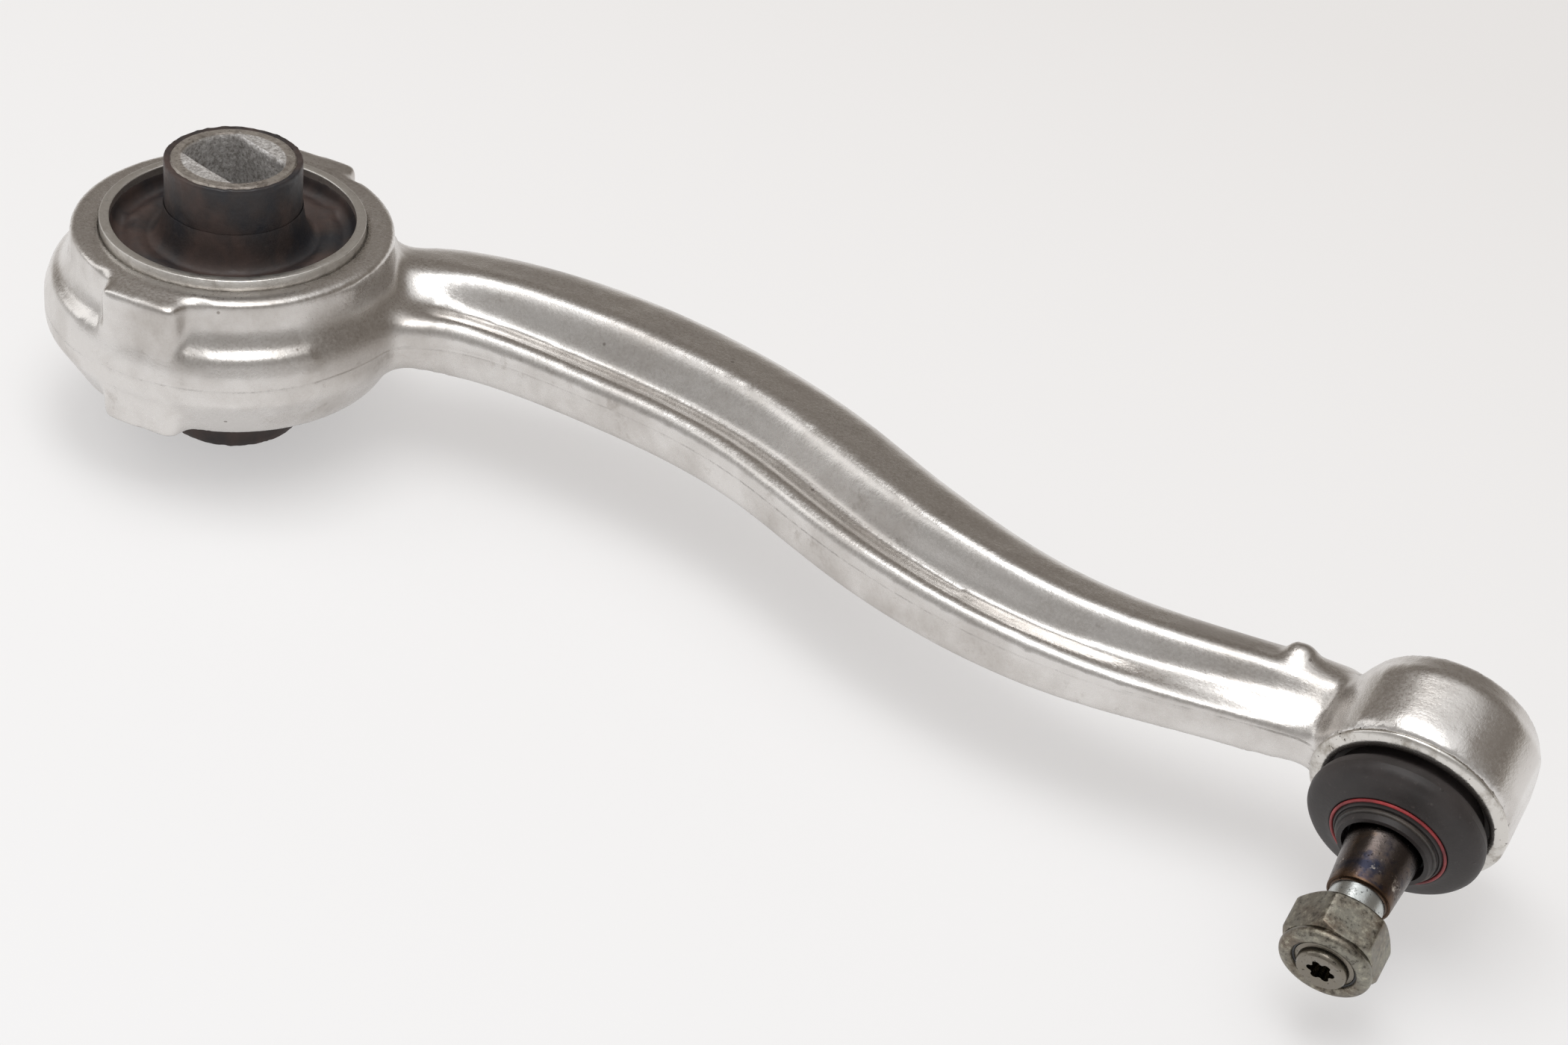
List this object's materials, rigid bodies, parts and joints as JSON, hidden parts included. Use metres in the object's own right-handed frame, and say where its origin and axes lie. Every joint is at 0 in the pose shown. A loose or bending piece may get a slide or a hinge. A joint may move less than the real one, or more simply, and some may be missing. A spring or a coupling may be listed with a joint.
{
  "type": "control arm",
  "caption": "Forged S-shaped suspension control arm with a rubber-bushed eye at one end and a sealed ball joint with stud and lock nut at the other.",
  "frame": {"origin": "centre of the bush, on its axis, half way along the inner sleeve", "axes": "+Z along the bush axis, +X from the bush axis to the ball centre, and the stud points towards -Y and down"},
  "size_m": [0.4164, 0.1207, 0.0794],
  "materials": {
    "forged_aluminium": "satin forged and shot-blasted, with brushed patches",
    "turned_aluminium": "satin turned",
    "bush_steel": "bare pressed steel",
    "black_polyamide": "moulded",
    "white_acetal": "moulded",
    "bush_rubber": "worn satin",
    "sleeve_metal": "worn matt face",
    "stud_steel": "heat-tinted, with bright spots",
    "rolled_ring": "rolled bright, with dirt specks",
    "boot_rubber": "matt",
    "spring_wire": "dark wire",
    "red_elastomer": "matt",
    "zinc_plated_steel": "dull zinc with brown tint"
  },
  "bodies": {
    "arm": {"arm_body": "forged_aluminium", "bush_outer_sleeve": "turned_aluminium", "window_cage": "bush_steel", "channel_shell_front": "black_polyamide", "channel_shell_rear": "black_polyamide", "bush_rubber": "bush_rubber", "bearing_shell": "white_acetal", "preload_disc": "bush_steel", "closing_ring": "rolled_ring", "boot_large_clip": "spring_wire"},
    "bush_core": {"bush_inner_sleeve": "sleeve_metal", "sleeve_coat": "bush_rubber", "travel_stop_front": "black_polyamide", "travel_stop_rear": "black_polyamide"},
    "boot": {"dust_boot": "boot_rubber"},
    "boot_lip": {"boot_small_clip": "spring_wire", "red_ring": "red_elastomer"},
    "stud": {"ball_stud": "stud_steel", "slip_ring": "black_polyamide"},
    "nut_travel": {"nut_insert": "black_polyamide"},
    "nut": {"lock_nut": "zinc_plated_steel"}
  },
  "joints": [
    {"name": "bush_torsion", "type": "hinge", "parent": "arm", "child": "bush_core", "pos_m": [0, 0, 0], "axis": [0, 0, 1], "range_deg": [-20, 20], "stiffness_Nm_per_rad": 60},
    {"name": "stud_swing_up", "type": "hinge", "parent": "arm", "child": "boot", "pos_m": [0.3425, 0, 0], "axis": [1, 0, 0], "range_deg": [-18, 18], "deforming": ["dust_boot"]},
    {"name": "stud_swing_side", "type": "hinge", "parent": "boot", "child": "boot_lip", "pos_m": [0.3425, 0, 0], "axis": [0, 0.2924, -0.9563], "range_deg": [-18, 18]},
    {"name": "stud_spin", "type": "hinge", "parent": "boot_lip", "child": "stud", "pos_m": [0.3425, 0, 0], "axis": [0, -0.9563, -0.2924], "continuous": true},
    {"name": "nut_advance", "type": "slide", "parent": "stud", "child": "nut_travel", "axis": [0, -0.9563, -0.2924], "range_m": [-0.00075, 0.012]},
    {"name": "nut_turn", "type": "hinge", "parent": "nut_travel", "child": "nut", "pos_m": [0.3425, -0.0526, -0.01608], "axis": [0, -0.9563, -0.2924], "range_deg": [-180, 2880]}
  ],
  "couplings": [
    {"joint": "nut_turn", "follows": "nut_advance", "rad_per_m": 4188.8}
  ]
}
